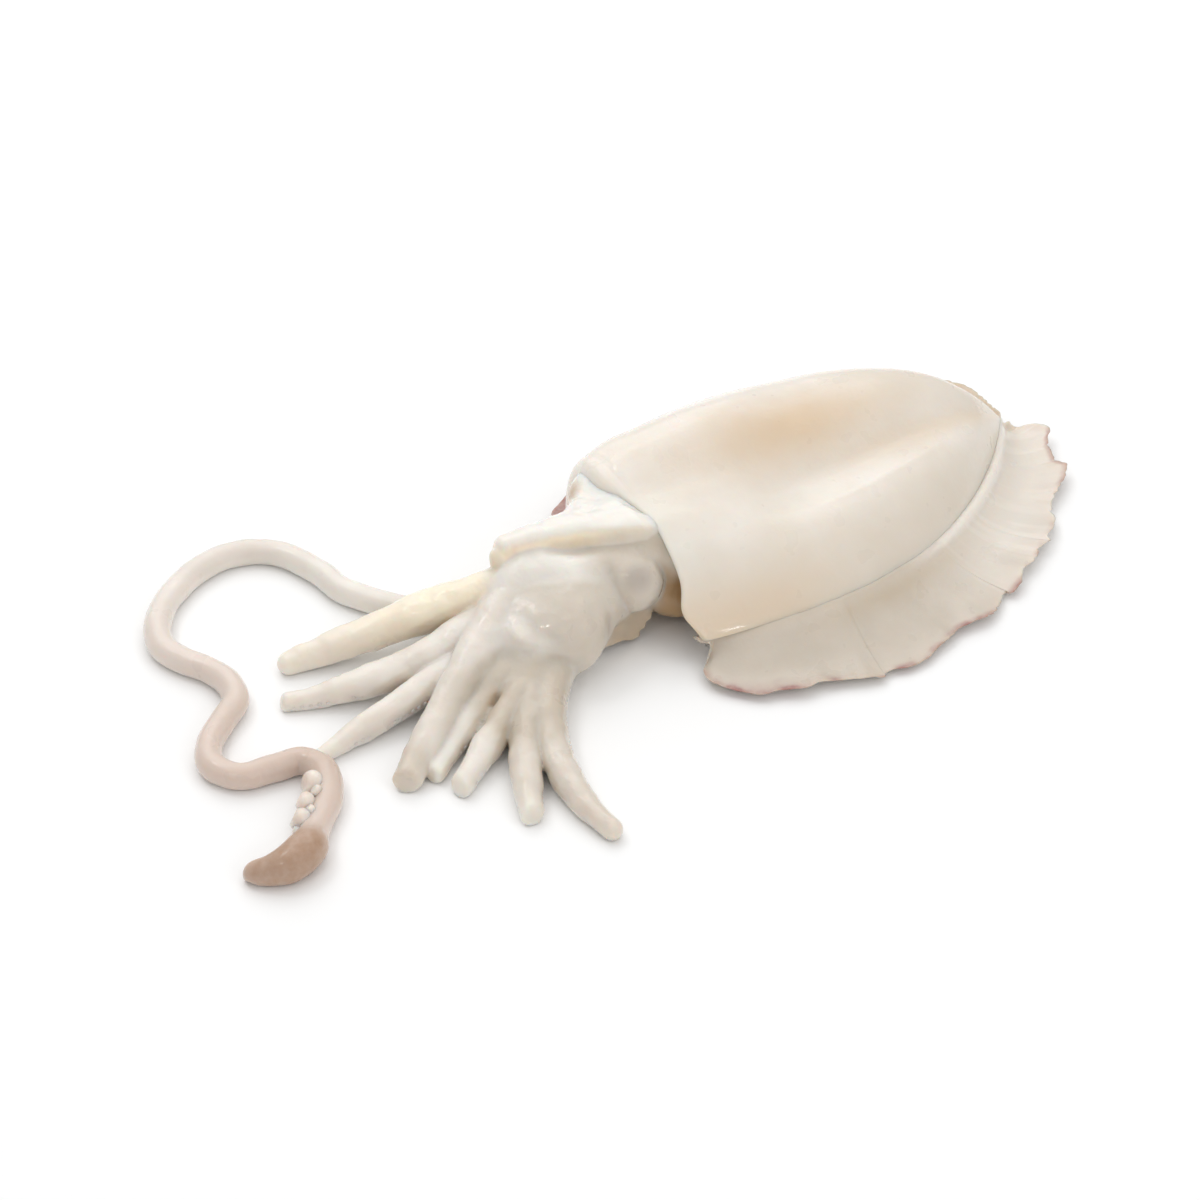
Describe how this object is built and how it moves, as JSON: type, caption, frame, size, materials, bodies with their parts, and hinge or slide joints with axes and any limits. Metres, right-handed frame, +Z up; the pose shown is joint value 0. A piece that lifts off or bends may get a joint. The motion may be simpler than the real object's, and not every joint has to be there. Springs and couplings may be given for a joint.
{
  "type": "raw cuttlefish",
  "caption": "Whole raw cuttlefish, skinned and thawed, lying on its back with its fins spread, its arms fanned out and one long tentacle in loose bends.",
  "frame": {"origin": "middle of the part's box, on the surface that it lies on", "axes": "+X along the body from the arms to the tail, +Y to the side of the long tentacle, +Z up"},
  "size_m": [0.3235, 0.1764, 0.0412],
  "materials": {
    "flesh": "wet, ivory flesh, slightly translucent"
  },
  "bodies": {
    "root": {"cuttlefish": "flesh"}
  },
  "joints": []
}
